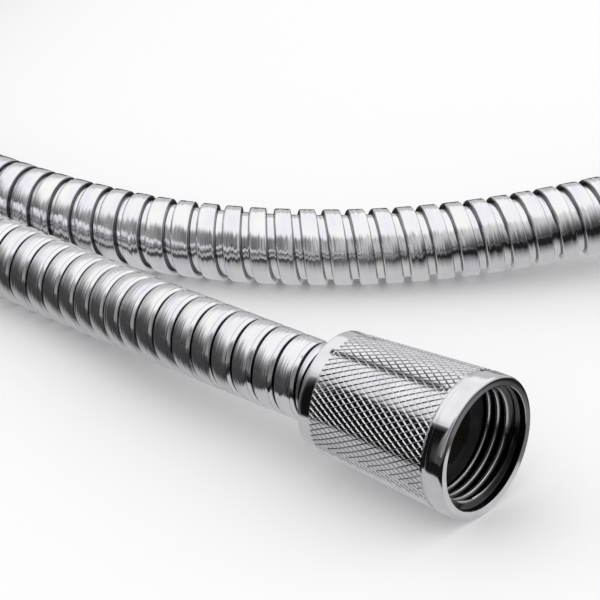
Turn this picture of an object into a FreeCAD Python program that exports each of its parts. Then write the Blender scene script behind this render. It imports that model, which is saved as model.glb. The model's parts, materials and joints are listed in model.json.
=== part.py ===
import FreeCAD, Part
import Sketcher
import math
import os

from FreeCAD import Placement, Rotation, Vector

# Flexible metal shower hose with a knurled cone nut at each end, millimetres.
# Every coupling is drawn along its own +X, which is the depth behind the mouth of its nut.
# The hose route is given in the front coupling's frame: mouth at x 0, +X out of the mouth, floor at z 0.

doc = FreeCAD.newDocument("ShowerHose")
UP = Vector(0, 0, 1)

# Sizes. A number is an independent size, a text starting with = is worked out from others.
SIZES = {
    # fits and gaps
    "running_gap": 0.05, "snug_gap": 0.03, "seat_gap": 0.05,
    # inner tube
    "tube_bore": 4.0, "tube_wall": 1.0, "tube_radius": "=tube_bore + tube_wall",
    "tube_front": "=spigot_end + seat_gap",
    # metal jacket
    "tube_gap": 0.3, "jacket_bore": "=tube_radius + tube_gap",
    "jacket_wall": 0.45, "jacket_root": "=jacket_bore + jacket_wall",
    "rib_height": 1.25, "jacket_crest": "=jacket_root + rib_height",
    "rib_pitch": 4.6, "rib_crest": 2.7, "rib_flank": 0.55, "rib_lead": 0.4,
    "jacket_clearance": 0.3, "jacket_front": "=crimp_back + jacket_clearance",
    # nut, inside: parallel pipe thread of nominal size one half
    "thread_major": 10.4775, "thread_pitch": 1.814, "thread_depth": 1.162,
    "thread_minor": "=thread_major - thread_depth",
    "thread_root_flat": 0.302, "thread_flank_slope": 0.5206, "thread_overcut": 0.06,
    "mouth_clearance": 0.1225, "mouth_radius": "=thread_major + mouth_clearance", "mouth_depth": 1.2,
    "thread_start": 0.2, "thread_length": 8.3, "thread_end": "=mouth_depth + thread_length",
    "thread_runout": 0.9, "thread_travel": "=thread_end + thread_runout - thread_start",
    "relief_clearance": 0.2225, "relief_radius": "=thread_major + relief_clearance",
    "shoulder_depth": "=bush_front + bush_flange_thickness",
    "nut_clearance": 0.5, "nut_bore": "=cap_radius + nut_clearance",
    # nut, outside
    "ring_wall": 1.55, "ring_radius": "=mouth_radius + ring_wall", "ring_round": 0.55, "ring_end": 3.2,
    "groove_cut": 0.4, "groove_radius": "=ring_radius - groove_cut",
    "groove_width": 1.0, "groove_end": "=ring_end + groove_width",
    "knurl_drop": 0.1, "knurl_front_radius": "=ring_radius - knurl_drop",
    "knurl_rise": 0.12, "knurl_back_radius": "=collar_radius + knurl_rise",
    "knurl_length": 23.8, "knurl_end": "=groove_end + knurl_length",
    "collar_wall": 2.88, "collar_radius": "=nut_bore + collar_wall",
    "collar_length": 2.6, "nut_length": "=knurl_end + collar_length",
    # sealing washer
    "washer_clearance": 0.1155, "washer_radius": "=thread_minor - washer_clearance",
    "washer_width": 3.45, "washer_bore": "=washer_radius - washer_width",
    "washer_thickness": 2.0, "washer_front": "=insert_front - washer_thickness",
    # insert that carries water from the mouth into the inner tube
    "insert_front": "=thread_end",
    "flange_clearance": 0.3155, "flange_radius": "=thread_minor - flange_clearance",
    "flange_thickness": 2.0, "flange_back": "=insert_front + flange_thickness",
    "neck_step": 0.8, "neck_radius": "=spigot_radius + neck_step",
    "nut_travel": 6.0, "travel_spare": 0.5, "neck_end": "=bush_end + nut_travel + travel_spare",
    "spigot_step": 0.5, "spigot_radius": "=barb_radius + spigot_step",
    "spigot_length": 1.5, "spigot_end": "=neck_end + spigot_length",
    "barb_height": 0.3, "barb_radius": "=tube_bore", "barrel_radius": "=barb_radius - barb_height",
    "barrel_wall": 0.8, "water_radius": "=barrel_radius - barrel_wall",
    "barb_lead": 0.1, "barb_slope": 1.5, "barb_gap": 0.9, "barrel_tail": 0.6,
    "barb_one_start": "=spigot_end + barb_lead", "barb_one": "=barb_one_start + barb_slope",
    "barb_two_start": "=barb_one + barb_gap", "barb_two": "=barb_two_start + barb_slope",
    "barb_three_start": "=barb_two + barb_gap", "barb_three": "=barb_three_start + barb_slope",
    "barrel_end": "=barb_three + barrel_tail",
    # bush that the nut turns on
    "bush_bore": "=neck_radius + running_gap", "bush_front": "=flange_back + seat_gap",
    "bush_flange_clearance": 0.4155, "bush_flange_radius": "=thread_minor - bush_flange_clearance",
    "bush_flange_thickness": 1.15, "bush_radius": "=nut_bore - running_gap",
    "bush_reach": 3.3, "bush_end": "=shoulder_depth + bush_reach", "bush_edge": 0.4,
    "bush_edge_start": "=bush_end - bush_edge", "bush_edge_radius": "=bush_radius - bush_edge",
    # cap that holds the metal jacket
    "cap_front": "=neck_end", "cap_front_bore": "=spigot_radius + running_gap",
    "jacket_hold": 2.5, "cap_back": "=jacket_front + jacket_hold",
    "cap_lip": 1.0, "cap_lip_front": "=cap_back - cap_lip", "cap_lip_bore": "=jacket_root + snug_gap",
    "cap_lip_height": 0.42, "cap_bore": "=cap_lip_bore + cap_lip_height",
    "cap_wall": 0.8, "cap_radius": "=cap_bore + cap_wall",
    "cap_edge": 0.4, "cap_edge_end": "=cap_front + cap_edge", "cap_edge_radius": "=cap_radius - cap_edge",
    # crimp ring that holds the inner tube on the barbs
    "crimp_wall": 0.6, "crimp_radius": "=tube_radius + crimp_wall", "crimp_bore": "=tube_radius",
    "crimp_lead": 1.0, "crimp_front": "=spigot_end + crimp_lead",
    "crimp_length": 5.0, "crimp_back": "=crimp_front + crimp_length",
    # put-away coil
    "coil_radius": 80.2, "pass_gap": 0.8, "coil_step": "=2 * jacket_crest + pass_gap",
    "layer_gap": 0.6, "coil_layer": "=2 * jacket_crest + layer_gap",
    "tie_gap": 0.25, "tie_thickness": 1.0, "tie_angle": 8.0,
    "floor_gap": 0.05, "coil_low": "=jacket_crest + tie_gap + tie_thickness + floor_gap",
}
# Two measures of an edge count as equal below this
SAME = 1e-4

# Hose route from the front coupling to the coil, and from the coil to the rear coupling
FRONT_ROUTE = [(-92.0, 7.3, 7.2), (-130.0, 9.1, 7.0), (-170.0, 9.0, 7.0), (-213.0, 6.5, 13.5)]
REAR_ROUTE = [(-201.5, 42.8, 7.3), (-172.0, 29.0, 7.0), (-123.0, 27.5, 7.0), (-87.0, 37.2, 7.0),
              (-55.5, 64.3, 7.0)]
REAR_BEND = (-27.1, 104.0)
REAR_HEADING = 66.0
END_RUN = 30.0
COIL_CENTRE = (-311.3, 75.2)
COIL_START_ANGLE = 282.0
COIL_END_ANGLE = 17.0
COIL_WHOLE_TURNS = 2
COIL_LEAD_IN = 42.0
COIL_LEAD_OUT = 32.6
COIL_ARCS = 11
TIE_PLACES = {"coil_tie_one": (21.0, 381.0, 741.0), "coil_tie_two": (244.0, 604.0, 964.0)}
ARC_SHARE = 0.45

sheet = doc.addObject("Spreadsheet::Sheet", "Sizes")
sheet.Label = "Sizes"
for row, name in enumerate(SIZES, start=1):
    sheet.set("A%d" % row, name)
    sheet.setAlias("B%d" % row, name)
for row, value in enumerate(SIZES.values(), start=1):
    sheet.set("B%d" % row, str(value))
doc.recompute()


def size(name):
    return float(sheet.get(name))


# Sketches and bodies

def origin_plane(body, role):
    for feature in body.Origin.OriginFeatures:
        if feature.Role == role:
            return feature
    raise ValueError(role)


def new_body(label):
    body = doc.addObject("PartDesign::Body", label)
    body.Label = label
    return body


def pin(sketch, index, corner):
    for kind, axis, name in (("DistanceX", -2, corner[0]), ("DistanceY", -1, corner[1])):
        if name == "zero":
            sketch.addConstraint(Sketcher.Constraint("PointOnObject", index, 1, axis))
            continue
        number = sketch.addConstraint(Sketcher.Constraint(kind, -1, 1, index, 1, size(name)))
        sketch.setExpression("Constraints[%d]" % number, "Sizes." + name)


def half_profile(body, name, corners):
    """Closed outline in depth and radius; each corner is a pair of size names."""
    sketch = body.newObject("Sketcher::SketchObject", name)
    sketch.AttachmentSupport = [(origin_plane(body, "XY_Plane"), "")]
    sketch.MapMode = "FlatFace"
    places = [Vector(*[0.0 if c == "zero" else size(c) for c in corner], 0) for corner in corners]
    count = len(places)
    for i in range(count):
        sketch.addGeometry(Part.LineSegment(places[i], places[(i + 1) % count]), False)
    for i in range(count):
        sketch.addConstraint(Sketcher.Constraint("Coincident", i, 2, (i + 1) % count, 1))
    for i, corner in enumerate(corners):
        pin(sketch, i, corner)
    return sketch


def turned(label, corners):
    """Body of revolution about the coupling's axis."""
    body = new_body(label)
    sketch = half_profile(body, label + "_outline", corners)
    turn = body.newObject("PartDesign::Revolution", label + "_turned")
    turn.Profile = sketch
    turn.ReferenceAxis = (sketch, ["H_Axis"])
    turn.Angle = 360.0
    body.Tip = turn
    doc.recompute()
    return body


def rim_edge(shape, depth, radius):
    for number, edge in enumerate(shape.Edges, start=1):
        curve = edge.Curve
        if not isinstance(curve, Part.Circle):
            continue
        if abs(curve.Radius - radius) < SAME and abs(curve.Center.x - depth) < SAME:
            return "Edge%d" % number
    raise ValueError("no rim at %.2f, %.2f" % (depth, radius))


# Coupling pieces

def cut_thread(body, label):
    """Right-handed helical groove between the mouth and the relief behind it."""
    major = size("thread_major")
    slope = size("thread_flank_slope")
    root = size("thread_root_flat") / 2
    inner = size("thread_minor") - size("thread_overcut")
    foot = root + slope * (major - inner)
    middle = size("thread_start")
    sketch = body.newObject("Sketcher::SketchObject", label + "_groove")
    sketch.AttachmentSupport = [(origin_plane(body, "XY_Plane"), "")]
    sketch.MapMode = "FlatFace"
    corners = [Vector(middle - foot, inner, 0), Vector(middle - root, major, 0),
               Vector(middle + root, major, 0), Vector(middle + foot, inner, 0)]
    for i in range(4):
        sketch.addGeometry(Part.LineSegment(corners[i], corners[(i + 1) % 4]), False)
    for i in range(4):
        sketch.addConstraint(Sketcher.Constraint("Coincident", i, 2, (i + 1) % 4, 1))
    number = sketch.addConstraint(Sketcher.Constraint("DistanceY", -1, 1, 1, 1, major))
    sketch.setExpression("Constraints[%d]" % number, "Sizes.thread_major")
    sketch.addConstraint(Sketcher.Constraint("Horizontal", 1))
    sketch.addConstraint(Sketcher.Constraint("Horizontal", 3))
    doc.recompute()
    groove = body.newObject("PartDesign::SubtractiveHelix", label + "_thread")
    groove.Profile = sketch
    groove.ReferenceAxis = (sketch, ["H_Axis"])
    groove.Mode = 0
    groove.HasBeenEdited = True
    groove.LeftHanded = False
    groove.setExpression("Pitch", "Sizes.thread_pitch")
    groove.setExpression("Height", "Sizes.thread_travel")
    before = body.Shape.Volume
    body.Tip = groove
    doc.recompute()
    print("%s: thread removes %.1f mm3" % (label, before - body.Shape.Volume))


def nut(label):
    body = turned(label, [
        ("zero", "mouth_radius"), ("zero", "ring_radius"), ("ring_end", "ring_radius"),
        ("ring_end", "groove_radius"), ("groove_end", "groove_radius"), ("groove_end", "knurl_front_radius"),
        ("knurl_end", "knurl_back_radius"), ("knurl_end", "collar_radius"), ("nut_length", "collar_radius"),
        ("nut_length", "nut_bore"), ("shoulder_depth", "nut_bore"), ("shoulder_depth", "relief_radius"),
        ("thread_end", "relief_radius"), ("thread_end", "thread_minor"), ("mouth_depth", "thread_minor"),
        ("mouth_depth", "mouth_radius")])
    turn = body.Tip
    fillet = body.newObject("PartDesign::Fillet", label + "_round")
    fillet.Base = (turn, [rim_edge(turn.Shape, 0.0, size("ring_radius"))])
    fillet.setExpression("Radius", "Sizes.ring_round")
    body.Tip = fillet
    doc.recompute()
    cut_thread(body, label)
    return body


def washer(label):
    return turned(label, [
        ("washer_front", "washer_bore"), ("washer_front", "washer_radius"),
        ("insert_front", "washer_radius"), ("insert_front", "washer_bore")])


def insert(label):
    return turned(label, [
        ("insert_front", "water_radius"), ("insert_front", "flange_radius"), ("flange_back", "flange_radius"),
        ("flange_back", "neck_radius"), ("neck_end", "neck_radius"), ("neck_end", "spigot_radius"),
        ("spigot_end", "spigot_radius"), ("spigot_end", "barrel_radius"),
        ("barb_one_start", "barrel_radius"), ("barb_one", "barb_radius"), ("barb_one", "barrel_radius"),
        ("barb_two_start", "barrel_radius"), ("barb_two", "barb_radius"), ("barb_two", "barrel_radius"),
        ("barb_three_start", "barrel_radius"), ("barb_three", "barb_radius"), ("barb_three", "barrel_radius"),
        ("barrel_end", "barrel_radius"), ("barrel_end", "water_radius")])


def bush(label):
    return turned(label, [
        ("bush_front", "bush_bore"), ("bush_front", "bush_flange_radius"),
        ("shoulder_depth", "bush_flange_radius"), ("shoulder_depth", "bush_radius"),
        ("bush_edge_start", "bush_radius"), ("bush_end", "bush_edge_radius"), ("bush_end", "bush_bore")])


def hose_cap(label):
    return turned(label, [
        ("cap_front", "cap_front_bore"), ("cap_front", "cap_edge_radius"), ("cap_edge_end", "cap_radius"),
        ("cap_back", "cap_radius"), ("cap_back", "cap_lip_bore"), ("cap_lip_front", "cap_lip_bore"),
        ("cap_lip_front", "cap_bore"), ("spigot_end", "cap_bore"), ("spigot_end", "cap_front_bore")])


def crimp_ring(label):
    return turned(label, [
        ("crimp_front", "crimp_bore"), ("crimp_front", "crimp_radius"),
        ("crimp_back", "crimp_radius"), ("crimp_back", "crimp_bore")])


COUPLING = {"nut": nut, "washer": washer, "insert": insert, "bush": bush, "hose_cap": hose_cap,
            "crimp_ring": crimp_ring}


# Hose route: straight runs joined by tangent arcs

def rounded_edges(points, name):
    edges = []
    last = points[0]
    radii = []
    for before, corner, after in zip(points, points[1:], points[2:]):
        back, ahead = before - corner, after - corner
        reach = ARC_SHARE * min(back.Length, ahead.Length)
        half_turn = (math.pi - back.getAngle(ahead)) / 2
        radii.append(reach / math.tan(half_turn))
        back.normalize()
        ahead.normalize()
        start, finish = corner + back * reach, corner + ahead * reach
        inward = back + ahead
        inward.normalize()
        middle = corner + inward * (radii[-1] / math.cos(half_turn) - radii[-1])
        edges.append(Part.LineSegment(last, start).toShape())
        edges.append(Part.Arc(start, middle, finish).toShape())
        last = finish
    edges.append(Part.LineSegment(last, points[-1]).toShape())
    print("%s: bend radii %s" % (name, ", ".join("%.0f" % radius for radius in radii)))
    return edges


def coil_travel():
    return COIL_START_ANGLE - COIL_END_ANGLE + 360.0 * COIL_WHOLE_TURNS


def coil_point(travel):
    """Point of the coil after so many degrees: inward on the top layer, outward on the lower one."""
    whole = coil_travel()
    middle, half = whole / 2, 180.0
    first, last = middle - half / 2, middle + half / 2
    if travel < first:
        inward = travel
    elif travel > last:
        inward = whole - travel
    else:
        inward = first + half / 4 - (travel - middle) ** 2 / half
    share = min(1.0, max(0.0, (travel - first) / half))
    drop = size("coil_layer") * share * share * (3 - 2 * share)
    radius = size("coil_radius") - size("coil_step") * inward / 360.0
    angle = math.radians(COIL_START_ANGLE - travel)
    return Vector(COIL_CENTRE[0] + radius * math.cos(angle), COIL_CENTRE[1] + radius * math.sin(angle),
                  size("coil_low") + size("coil_layer") - drop)


def coil_tangent(travel):
    small = 0.01
    low, high = max(0.0, travel - small), min(coil_travel(), travel + small)
    tangent = coil_point(high) - coil_point(low)
    return tangent.normalize()


def arc_between(start, corner, finish):
    """Circular arc tangent at both ends to the two equal legs that meet in the corner."""
    half_cosine = math.sin((start - corner).getAngle(finish - corner) / 2)
    middle = (start + finish + corner * (2 * half_cosine)) * (1 / (2 + 2 * half_cosine))
    return Part.Arc(start, middle, finish).toShape()


def biarc(start, start_way, finish, finish_way):
    chord = finish - start
    ways = start_way + finish_way
    lean = 2 * (1 - start_way.dot(finish_way))
    reach = (-chord.dot(ways) + math.sqrt(chord.dot(ways) ** 2 + lean * chord.dot(chord))) / lean
    near, far = start + start_way * reach, finish - finish_way * reach
    joint = (near + far) * 0.5
    return [arc_between(start, near, joint), arc_between(joint, far, finish)]


def coil_edges():
    edges = []
    stops = [coil_travel() * i / COIL_ARCS for i in range(COIL_ARCS + 1)]
    for low, high in zip(stops, stops[1:]):
        edges += biarc(coil_point(low), coil_tangent(low), coil_point(high), coil_tangent(high))
    return edges


def length_of(edges):
    return sum(edge.Length for edge in edges)


def place_on(edges, distance):
    """Point and direction at a distance along the edges."""
    for edge in edges:
        if distance <= edge.Length or edge is edges[-1]:
            at = edge.getParameterByLength(min(distance, edge.Length))
            return edge.valueAt(at), edge.tangentAt(at)
        distance -= edge.Length


def circle_at(point, way, radius):
    circle = Part.Wire([Part.makeCircle(radius)])
    circle.Placement = Placement(point, Rotation(UP, Vector(), way, "ZXY"))
    return circle


def swept(edges, radius):
    point, way = place_on(edges, 0.0)
    shell = Part.BRepOffsetAPI.MakePipeShell(Part.Wire(edges))
    shell.add(circle_at(point, way, radius))
    shell.build()
    shell.makeSolid()
    return shell.shape()


def plain_tube(name, edges, outer, inner):
    shape = swept(edges, outer).cut(swept(edges, inner))
    expected = math.pi * (outer * outer - inner * inner) * length_of(edges)
    print("%s: length %.1f, volume over section times length %.4f" % (name, length_of(edges),
                                                                     shape.Volume / expected))
    return shape


def ribbed_tube(name, edges, plain_start, plain_end):
    """Jacket with raised ribs between a plain stretch at each end; its far end can be a crest."""
    root, crest, bore = size("jacket_root"), size("jacket_crest"), size("jacket_bore")
    flank, band = size("rib_flank"), size("rib_crest")
    whole = length_of(edges)
    ribbed = whole - plain_start - plain_end
    count = int(round(ribbed / size("rib_pitch")))
    pitch = ribbed / count
    rings = [(0.0, root)] if plain_start else []
    for number in range(count):
        foot = plain_start + pitch * number + (pitch - band) / 2 - flank
        rings += [(foot, root), (foot + flank, crest), (foot + flank + band, crest),
                  (foot + 2 * flank + band, root)]
    rings.append((whole, root))
    if not plain_start:
        rings.insert(0, (0.0, root))
    wires = [circle_at(*place_on(edges, distance), radius) for distance, radius in rings]
    shape = Part.makeLoft(wires, True, True).cut(swept(edges, bore))
    print("%s: length %.1f, %d ribs at pitch %.2f, volume %.0f" % (name, whole, count, pitch, shape.Volume))
    return shape


def soft_piece(label, shape):
    piece = doc.addObject("Part::Feature", label)
    piece.Label = label
    piece.Shape = shape
    return piece


def tie_strap(places):
    """Strap round the three passes of the coil at one place, turned a little about the coil's axis."""
    points = [coil_point(travel) for travel in places]
    outline = Part.Face(Part.makePolygon(points + points[:1]))
    inner = size("jacket_crest") + size("tie_gap")
    ring = outline.makeOffset2D(inner + size("tie_thickness"), 0).cut(outline.makeOffset2D(inner, 0))
    axis = Vector(COIL_CENTRE[0], COIL_CENTRE[1], 0)
    ring.rotate(axis, UP, -size("tie_angle") / 2)
    return ring.revolve(axis, UP, size("tie_angle"))


# Where the two couplings stand in the route's frame
axis_height = size("ring_radius")
jacket_front = size("jacket_front")
rear_way = Vector(math.cos(math.radians(REAR_HEADING)), math.sin(math.radians(REAR_HEADING)), 0)
rear_bend = Vector(REAR_BEND[0], REAR_BEND[1], axis_height)
rear_end = rear_bend + rear_way * END_RUN
rear_mouth = rear_end + rear_way * jacket_front
STANDS = {
    "front": Placement(Vector(0, 0, axis_height), Rotation(UP, 180.0)),
    "rear": Placement(rear_mouth, Rotation(UP, REAR_HEADING + 180.0)),
}

coupling_bodies = []
for end, stand in STANDS.items():
    for kind, build in COUPLING.items():
        body = build(end + "_" + kind)
        body.Placement = stand
        coupling_bodies.append(body)
doc.recompute()

# Hose, inner tube and ties
front_end = Vector(-jacket_front, 0, axis_height)
coil_start, coil_end = coil_point(0.0), coil_point(coil_travel())
lead_in = coil_start - coil_tangent(0.0) * COIL_LEAD_IN
lead_out = coil_end + coil_tangent(coil_travel()) * COIL_LEAD_OUT
front_points = [front_end, front_end - Vector(END_RUN, 0, 0)] + [Vector(*p) for p in FRONT_ROUTE]
front_points += [lead_in, coil_start]
rear_points = [coil_end, lead_out] + [Vector(*p) for p in REAR_ROUTE] + [rear_bend, rear_end]
front_edges = rounded_edges(front_points, "front_hose")
rear_edges = rounded_edges(rear_points, "rear_hose")
coil_path = coil_edges()

plain_length = size("jacket_hold") + size("rib_lead")
tube_lead = jacket_front - size("tube_front")
front_tube_path = [Part.LineSegment(front_end + Vector(tube_lead, 0, 0), front_end).toShape()] + front_edges
rear_tube_path = rear_edges + [Part.LineSegment(rear_end, rear_end + rear_way * tube_lead).toShape()]
tube_radius, tube_bore = size("tube_radius"), size("tube_bore")

soft_pieces = [
    soft_piece("front_hose", ribbed_tube("front_hose", front_edges, plain_length, 0.0)),
    soft_piece("rear_hose", ribbed_tube("rear_hose", rear_edges, 0.0, plain_length)),
    soft_piece("hose_coil", plain_tube("hose_coil", coil_path, size("jacket_crest"), size("jacket_bore"))),
    soft_piece("front_tube", plain_tube("front_tube", front_tube_path, tube_radius, tube_bore)),
    soft_piece("rear_tube", plain_tube("rear_tube", rear_tube_path, tube_radius, tube_bore)),
    soft_piece("coil_tube", plain_tube("coil_tube", coil_path, tube_radius, tube_bore)),
]
for label, places in TIE_PLACES.items():
    soft_pieces.append(soft_piece(label, tie_strap(places)))
doc.recompute()

# Least clear gap between passes of the coil
steps = 1200
track = [coil_point(coil_travel() * i / steps) for i in range(steps + 1)]
apart = int(steps * 180.0 / coil_travel())
least = min((track[i] - track[j]).Length
            for i in range(0, steps + 1, 3) for j in range(i + apart, steps + 1, 2))
print("least gap between coil passes %.2f" % (least - 2 * size("jacket_crest")))
overall = length_of(front_edges) + length_of(rear_edges) + length_of(coil_path) + 2 * jacket_front
print("hose length over the couplings %.0f" % overall)

# The finished frame has the couplings' box centred on the origin, floor at z 0
box = FreeCAD.BoundBox()
for body in coupling_bodies:
    box.add(body.Shape.optimalBoundingBox(False, False))
shift = Vector(-(box.XMin + box.XMax) / 2, -(box.YMin + box.YMax) / 2, -box.ZMin)
print("shift of the route's frame %.4f %.4f %.4f" % tuple(shift))
for piece in coupling_bodies + soft_pieces:
    piece.Placement = Placement(shift, Rotation()).multiply(piece.Placement)
doc.recompute()

os.makedirs("parts", exist_ok=True)
for obj in doc.Objects:
    if "Invalid" in obj.State or "Error" in obj.State:
        raise RuntimeError("feature in error: " + obj.Label)
for piece in coupling_bodies + soft_pieces:
    shape = piece.Shape
    if shape.isNull() or not shape.isValid() or shape.Volume <= 0 or len(shape.Solids) != 1:
        raise RuntimeError("bad shape: " + piece.Label)
    shape.exportStep("parts/%s.step" % piece.Label)
    print("%s: volume %.0f" % (piece.Label, shape.Volume))
print("pieces written: %d" % len(coupling_bodies + soft_pieces))
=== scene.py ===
import json
import math

import bpy
import numpy as np
from mathutils import Matrix, Vector


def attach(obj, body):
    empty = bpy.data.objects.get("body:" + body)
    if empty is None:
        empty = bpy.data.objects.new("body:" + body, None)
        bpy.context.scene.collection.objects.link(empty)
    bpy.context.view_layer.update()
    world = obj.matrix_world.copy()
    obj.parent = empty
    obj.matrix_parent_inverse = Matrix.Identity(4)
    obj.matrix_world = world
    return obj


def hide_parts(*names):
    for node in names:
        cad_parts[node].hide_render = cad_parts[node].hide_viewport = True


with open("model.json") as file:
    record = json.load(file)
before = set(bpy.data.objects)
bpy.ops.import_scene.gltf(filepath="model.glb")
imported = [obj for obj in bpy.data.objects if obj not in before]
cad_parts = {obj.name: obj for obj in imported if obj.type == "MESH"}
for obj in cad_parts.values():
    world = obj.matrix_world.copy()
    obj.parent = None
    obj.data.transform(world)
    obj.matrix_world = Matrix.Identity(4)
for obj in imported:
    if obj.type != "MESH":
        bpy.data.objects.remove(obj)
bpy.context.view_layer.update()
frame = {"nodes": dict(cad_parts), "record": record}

# Flexible metal shower hose with a knurled cone nut at each end; named sizes are in millimetres and degrees
MM = 0.001
MOUNTS = {mount["name"]: mount for mount in frame["record"]["mounts"]}
AXIS_HEIGHT = 12.15
FRONT_MOUTH = Vector(MOUNTS["front_thread"]["pos_m"])
ROUTE_ORIGIN = FRONT_MOUTH - Vector((0.0, 0.0, AXIS_HEIGHT * MM))


def place(x, y, z):
    """Point of the route, millimetres from the front mouth, in the model's frame."""
    return ROUTE_ORIGIN + Vector((x, y, z)) * MM


# Camera at the photograph's angle
CAMERA_TURN = math.radians(-39.58)
CAMERA_TILT = math.radians(26.703)
CAMERA_PLACE = (241.33, -338.46, 247.17)
LENS = 180.0
SENSOR = 36.0

camera_data = bpy.data.cameras.new("camera")
camera_data.lens = LENS
camera_data.sensor_width = SENSOR
camera_data.clip_start = 0.01
camera_data.clip_end = 20.0
camera = bpy.data.objects.new("camera", camera_data)
bpy.context.scene.collection.objects.link(camera)
looking = Vector((math.sin(CAMERA_TURN) * math.cos(CAMERA_TILT),
                  math.cos(CAMERA_TURN) * math.cos(CAMERA_TILT), -math.sin(CAMERA_TILT)))
camera.location = place(*CAMERA_PLACE)
camera.rotation_euler = looking.to_track_quat("-Z", "Y").to_euler()
bpy.context.scene.camera = camera
bpy.context.scene.view_settings.view_transform = "Standard"

# Hose route, with the same points as the CAD part: out of the front coupling, round the coil and to the rear one
JACKET_FRONT = 30.3
END_RUN = 30.0
REAR_HEADING = math.radians(66.0)
FRONT_ROUTE = [(-92.0, 7.3, 7.2), (-130.0, 9.1, 7.0), (-170.0, 9.0, 7.0), (-213.0, 6.5, 13.5)]
REAR_ROUTE = [(-201.5, 42.8, 7.3), (-172.0, 29.0, 7.0), (-123.0, 27.5, 7.0), (-87.0, 37.2, 7.0),
              (-55.5, 64.3, 7.0), (-27.1, 104.0, 12.15)]
COIL_CENTRE = (-311.3, 75.2)
COIL_START, COIL_END, COIL_WHOLE_TURNS = 282.0, 17.0, 2
COIL_RADIUS, COIL_STEP, COIL_LOW, COIL_LAYER = 80.2, 14.8, 8.3, 14.6
COIL_LEAD_IN, COIL_LEAD_OUT = 42.0, 32.6
COIL_CROSSING = 180.0
COIL_TRAVEL = COIL_START - COIL_END + 360.0 * COIL_WHOLE_TURNS
COIL_POINTS = 40


def coil_point(travel, swell=1.0):
    """Inward on the top layer, then outward on the lower one; travel is in degrees round the coil.

    Swell widens a turn for its control points, which lie outside the curve.
    """
    first = (COIL_TRAVEL - COIL_CROSSING) / 2
    if travel < first:
        inward = travel
    elif travel > first + COIL_CROSSING:
        inward = COIL_TRAVEL - travel
    else:
        inward = first + COIL_CROSSING / 4 - (travel - COIL_TRAVEL / 2) ** 2 / COIL_CROSSING
    share = min(1.0, max(0.0, (travel - first) / COIL_CROSSING))
    drop = COIL_LAYER * share * share * (3 - 2 * share)
    radius = (COIL_RADIUS - COIL_STEP * inward / 360.0) * swell
    angle = math.radians(COIL_START - travel)
    return Vector((COIL_CENTRE[0] + radius * math.cos(angle), COIL_CENTRE[1] + radius * math.sin(angle),
                   COIL_LOW + COIL_LAYER - drop))


def coil_way(travel):
    """Direction of the coil's line."""
    nudge = 0.01
    low, high = max(0.0, travel - nudge), min(COIL_TRAVEL, travel + nudge)
    return (coil_point(high) - coil_point(low)).normalized()


def route_points(reach):
    """Control points of the hose line; reach is how far it runs into each coupling past the jacket's end."""
    rear_way = Vector((math.cos(REAR_HEADING), math.sin(REAR_HEADING), 0.0))
    points = [Vector((-JACKET_FRONT + reach, 0.0, AXIS_HEIGHT)),
              Vector((-JACKET_FRONT - END_RUN, 0.0, AXIS_HEIGHT))]
    points += [Vector(point) for point in FRONT_ROUTE]
    points.append(coil_point(0.0) - coil_way(0.0) * COIL_LEAD_IN)
    step = COIL_TRAVEL / COIL_POINTS
    swell = 1.0 / math.cos(math.radians(step / 2))
    points += [coil_point(step * (i + 0.5), swell) for i in range(COIL_POINTS)]
    points.append(coil_point(COIL_TRAVEL) + coil_way(COIL_TRAVEL) * COIL_LEAD_OUT)
    points += [Vector(point) for point in REAR_ROUTE]
    points.append(points[-1] + rear_way * (END_RUN + reach))
    return [place(*point) for point in points]


class Track:
    """Position and cross directions at a distance along a followed line."""

    def __init__(self, points):
        runs = np.linalg.norm(np.diff(points, axis=0), axis=1)
        self.distance = np.concatenate([[0.0], np.cumsum(runs)])
        self.points = points
        self.length = self.distance[-1]
        way = np.gradient(points, self.distance, axis=0)
        self.way = way / np.linalg.norm(way, axis=1)[:, None]

    def at(self, distance):
        point = np.stack([np.interp(distance, self.distance, self.points[:, i]) for i in range(3)], axis=-1)
        way = np.stack([np.interp(distance, self.distance, self.way[:, i]) for i in range(3)], axis=-1)
        way /= np.linalg.norm(way, axis=-1)[..., None]
        rise = np.array([0.0, 0.0, 1.0]) - way * way[..., 2:3]
        rise /= np.linalg.norm(rise, axis=-1)[..., None]
        return point, rise, np.cross(way, rise)


def route_line(name, reach):
    """Track of the hose's line, from points that Blender gives along a curve with no bevel."""
    data = bpy.data.curves.new(name, "CURVE")
    data.dimensions = "3D"
    data.resolution_u = 24
    spline = data.splines.new("NURBS")
    points = route_points(reach)
    spline.points.add(len(points) - 1)
    for knot, point in zip(spline.points, points):
        knot.co = (*point, 1.0)
    spline.order_u = 3
    spline.use_endpoint_u = True
    curve = bpy.data.objects.new(name, data)
    bpy.context.scene.collection.objects.link(curve)
    bpy.context.view_layer.update()
    line = bpy.data.meshes.new_from_object(curve)
    track = Track(np.array([vertex.co[:] for vertex in line.vertices]))
    bpy.data.meshes.remove(line)
    bpy.data.objects.remove(curve)
    return track


# Jacket: one metal strip wound round and round, its edges folded over each other
PITCH = 4.6
CREST, OPEN_FLOOR, FOLD = 7.0, 5.95, 6.35
SHUT_GAP, OPEN_GAP = 0.55, 1.4

# Rise from the recess to the crest on the nut's side: distance, radius and how much painted shade darkens it,
# shut and pulled open
SHUT_RISE = [(0.0, 6.35, 1.0), (0.04, 6.55, 1.0), (0.1, 6.64, 0.6), (0.17, 6.68, 0.0),
             (0.60, 6.925, 0.0), (0.70, 6.955, 0.0), (0.79, 6.935, 0.6), (0.90, 6.975, 0.0)]
OPEN_RISE = [(0.0, 6.35, 0.9), (0.025, 6.568, 0.5), (0.098, 6.76, 0.2), (0.21, 6.903, 0.05),
             (0.31, 6.966, 0.0), (0.36, 6.982, 0.0), (0.39, 6.986, 0.0), (0.42, 6.988, 0.0)]
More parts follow.
